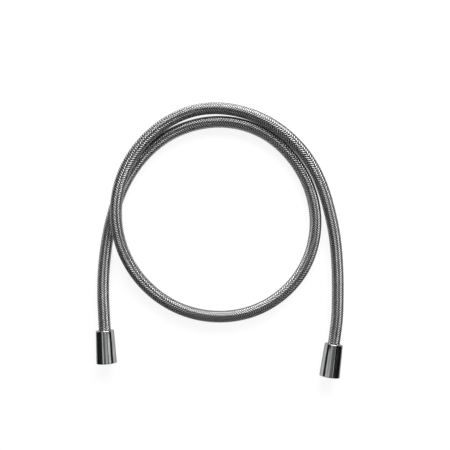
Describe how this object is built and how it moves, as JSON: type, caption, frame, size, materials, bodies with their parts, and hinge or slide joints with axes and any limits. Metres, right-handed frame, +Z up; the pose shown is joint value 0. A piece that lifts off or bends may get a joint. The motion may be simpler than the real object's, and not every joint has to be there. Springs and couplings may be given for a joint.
{
  "type": "shower hose",
  "caption": "Flexible shower hose: a braided metal cover over a rubber tube, lying in a loose loop, with a tapered threaded nut at each end.",
  "frame": {"origin": "middle of the bounding box in plan, on the surface that the hose lies on", "axes": "+Z up from that surface, +Y from the free ends across the loop, +X from the tap end to the handset end"},
  "size_m": [0.2943, 0.3261, 0.0297],
  "materials": {
    "steel_braid": "bright woven steel strands",
    "chrome_nut": "polished chrome plating on brass",
    "ferrule_steel": "plain crimped steel",
    "brass": "turned brass",
    "washer_rubber": "matt black rubber",
    "inner_tube": "smooth dark rubber",
    "acetal": "off-white moulded plastic"
  },
  "bodies": {
    "hose": {"braided_sheath": "steel_braid", "inner_tube": "inner_tube", "tap_nipple": "brass", "tap_slip_ring": "acetal", "tap_ferrule": "ferrule_steel", "handset_nipple": "brass", "handset_slip_ring": "acetal", "handset_ferrule": "ferrule_steel"},
    "tap_nut": {"tap_cone_nut": "chrome_nut", "tap_sealing_washer": "washer_rubber"},
    "handset_nut": {"handset_cone_nut": "chrome_nut", "handset_sealing_washer": "washer_rubber"}
  },
  "joints": [
    {"name": "tap_nut_spin", "type": "hinge", "parent": "hose", "child": "tap_nut", "pos_m": [-0.1342, -0.1455, 0.01201], "axis": [0.061, -0.9975, 0.0347], "continuous": true},
    {"name": "handset_nut_spin", "type": "hinge", "parent": "hose", "child": "handset_nut", "pos_m": [0.1294, -0.1614, 0.01201], "axis": [-0.1391, -0.9897, 0.0347], "continuous": true}
  ]
}
